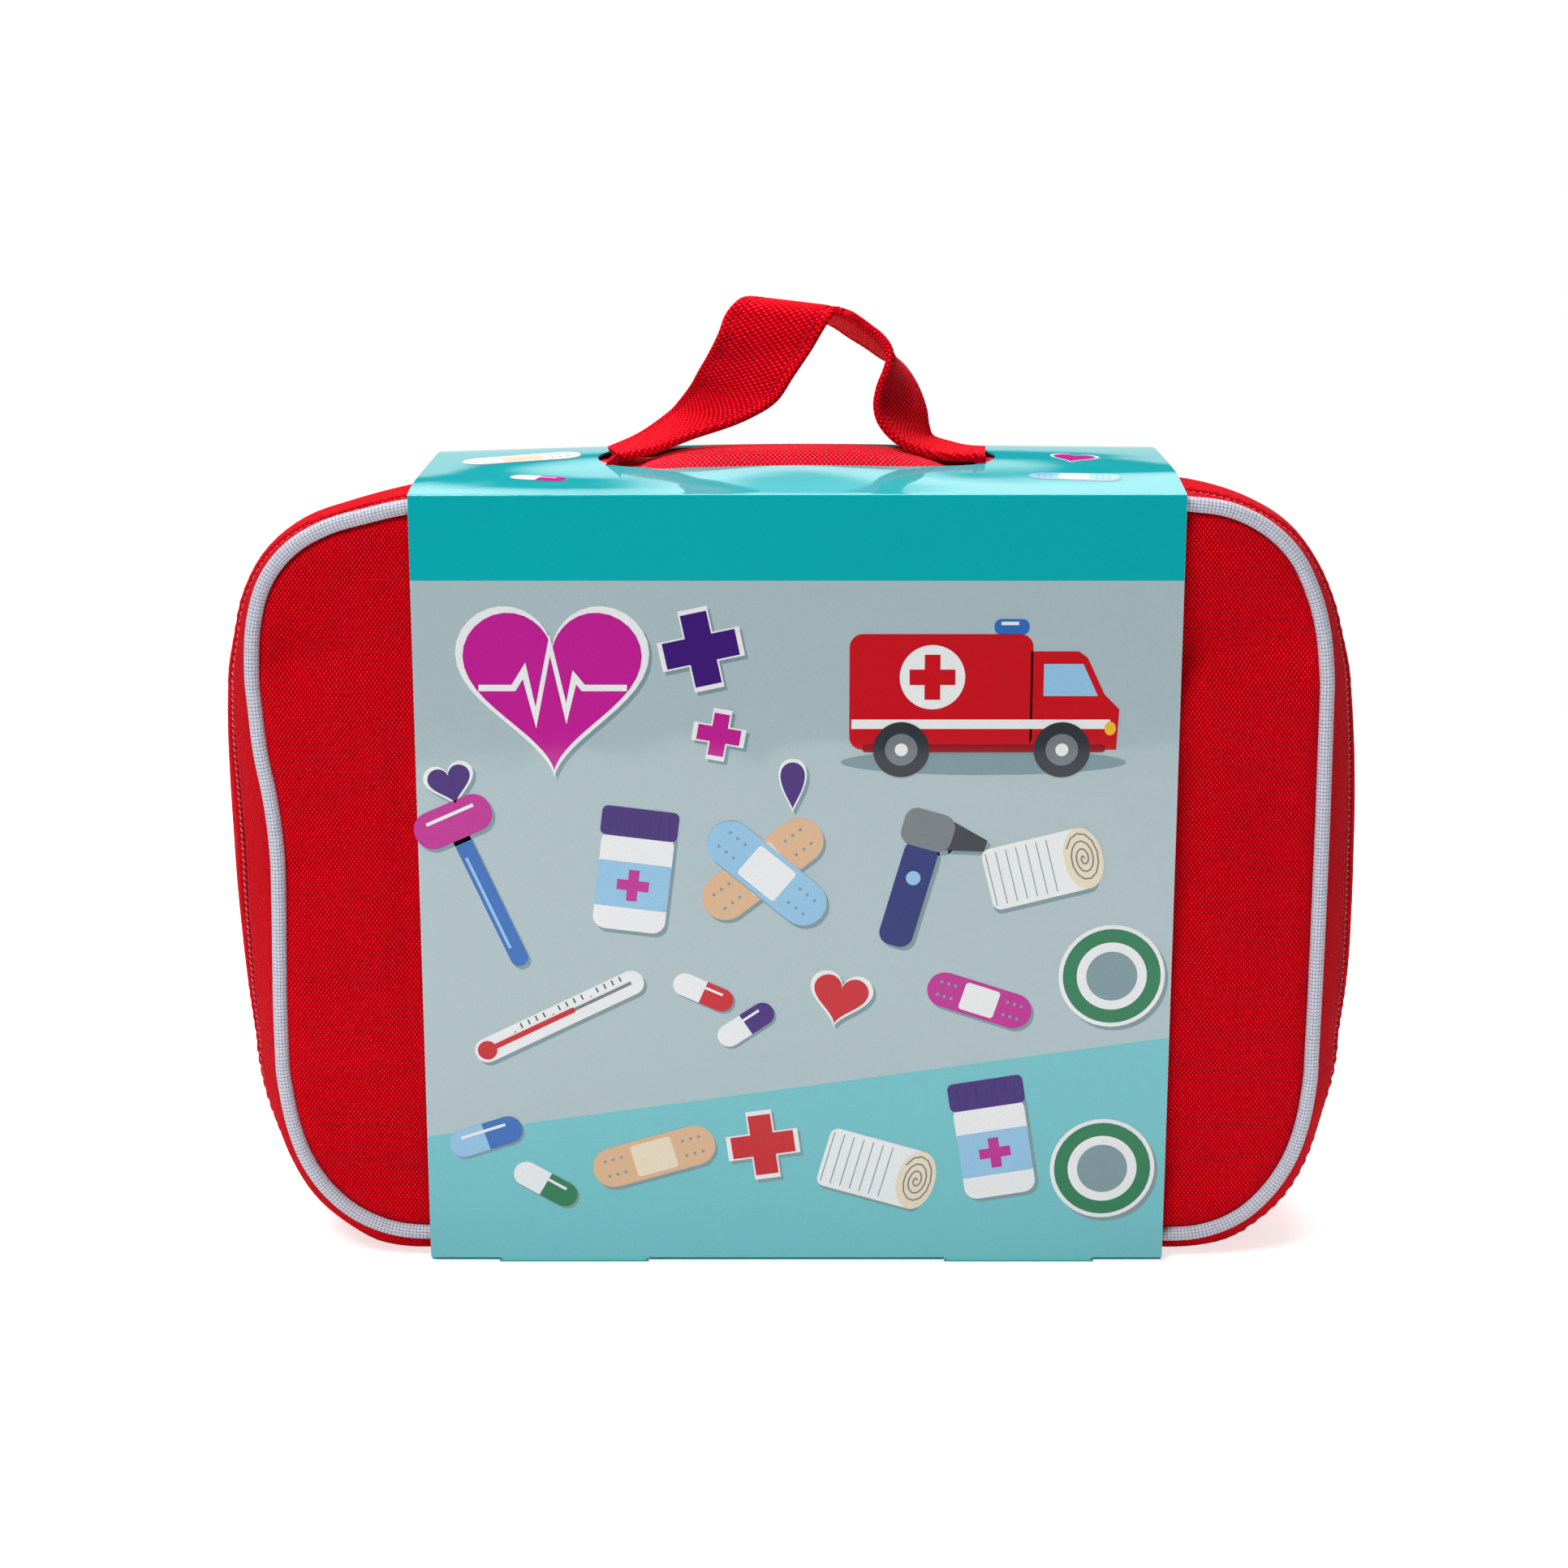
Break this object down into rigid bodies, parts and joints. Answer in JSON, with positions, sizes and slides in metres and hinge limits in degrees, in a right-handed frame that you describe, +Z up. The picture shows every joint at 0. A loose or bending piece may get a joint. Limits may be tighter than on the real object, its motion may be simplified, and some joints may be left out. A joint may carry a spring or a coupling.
{
  "type": "toy doctor case",
  "caption": "Soft red zip case for a toy doctor kit with white piping, a carry strap and a removable card sleeve around it.",
  "frame": {"origin": "middle of the base, on the underside of the sleeve's bottom card", "axes": "+X to the right along the width, front faces -Y, +Z up"},
  "size_m": [0.268, 0.073, 0.2289],
  "materials": {
    "red_cloth": "coarse plain woven polyester, slight sheen",
    "strap_cloth": "folded and stitched woven polyester strap",
    "piping_cloth": "fine plain woven white tape over round cord",
    "foam": "soft polyethylene foam",
    "lining_cloth": "thin plain woven lining",
    "binding_tape": "ribbed binding tape",
    "zip_tape": "herringbone woven tape",
    "zip_coil": "nylon coil",
    "zip_metal": "red painted die casting",
    "emblem_print": "screen print",
    "printed_card": "glossy printed folding card"
  },
  "bodies": {
    "shell": {"back_panel": "red_cloth", "back_foam": "foam", "back_lining": "lining_cloth", "back_piping": "piping_cloth", "back_band": "red_cloth", "back_band_lining": "lining_cloth", "back_binding": "binding_tape", "rear_zip_tape": "zip_tape", "rear_zip_coil": "zip_coil", "bottom_gusset": "red_cloth", "bottom_lining": "lining_cloth", "zip_end_tabs": "red_cloth", "handle_foot_left": "strap_cloth", "handle_foot_right": "strap_cloth", "sleeve_top": "printed_card"},
    "lid": {"front_panel": "red_cloth", "front_foam": "foam", "front_lining": "lining_cloth", "front_piping": "piping_cloth", "front_band": "red_cloth", "front_band_lining": "lining_cloth", "front_binding": "binding_tape", "front_zip_tape": "zip_tape", "front_zip_coil": "zip_coil", "front_emblem": "emblem_print"},
    "handle": {"handle_strap": "strap_cloth"},
    "slider": {"zip_slider": "zip_metal"},
    "pull": {"zip_pull": "zip_metal"},
    "front_card": {"sleeve_front": "printed_card"},
    "back_card": {"sleeve_back": "printed_card"},
    "bottom_card": {"sleeve_bottom": "printed_card"},
    "tab_left": {"lock_tab_left": "printed_card"},
    "tab_right": {"lock_tab_right": "printed_card"}
  },
  "joints": [
    {"name": "lid_hinge", "type": "hinge", "parent": "shell", "child": "lid", "pos_m": [0, -0.036, 0.0011], "axis": [1, 0, 0], "range_deg": [0, 85]},
    {"name": "front_card_fold", "type": "hinge", "parent": "lid", "child": "front_card", "pos_m": [0, -0.0365, 0.1854], "axis": [-1, 0, 0], "range_deg": [0, 170]},
    {"name": "back_card_fold", "type": "hinge", "parent": "shell", "child": "back_card", "pos_m": [0, 0.0365, 0.1854], "axis": [1, 0, 0], "range_deg": [0, 170]},
    {"name": "bottom_card_fold", "type": "hinge", "parent": "back_card", "child": "bottom_card", "pos_m": [0, 0.0365, 0.00055], "axis": [1, 0, 0], "range_deg": [0, 150]},
    {"name": "tab_left_fold", "type": "hinge", "parent": "bottom_card", "child": "tab_left", "pos_m": [-0.0535, -0.02535, 0], "axis": [1, 0, 0], "range_deg": [0, 90]},
    {"name": "tab_right_fold", "type": "hinge", "parent": "bottom_card", "child": "tab_right", "pos_m": [0.0535, -0.02535, 0], "axis": [1, 0, 0], "range_deg": [0, 90]},
    {"name": "handle_swing", "type": "hinge", "parent": "shell", "child": "handle", "pos_m": [0, 0.004, 0.1902], "axis": [1, 0, 0], "range_deg": [-30, 30]},
    {"name": "slider_travel", "type": "hinge", "parent": "shell", "child": "slider", "pos_m": [-0.081, -0.018, 0.0496], "axis": [0, 1, 0], "range_deg": [0, 56]},
    {"name": "pull_swing", "type": "hinge", "parent": "slider", "child": "pull", "pos_m": [-0.10712, -0.018, 0.00248], "axis": [0, -1, 0], "range_deg": [0, 120]}
  ]
}
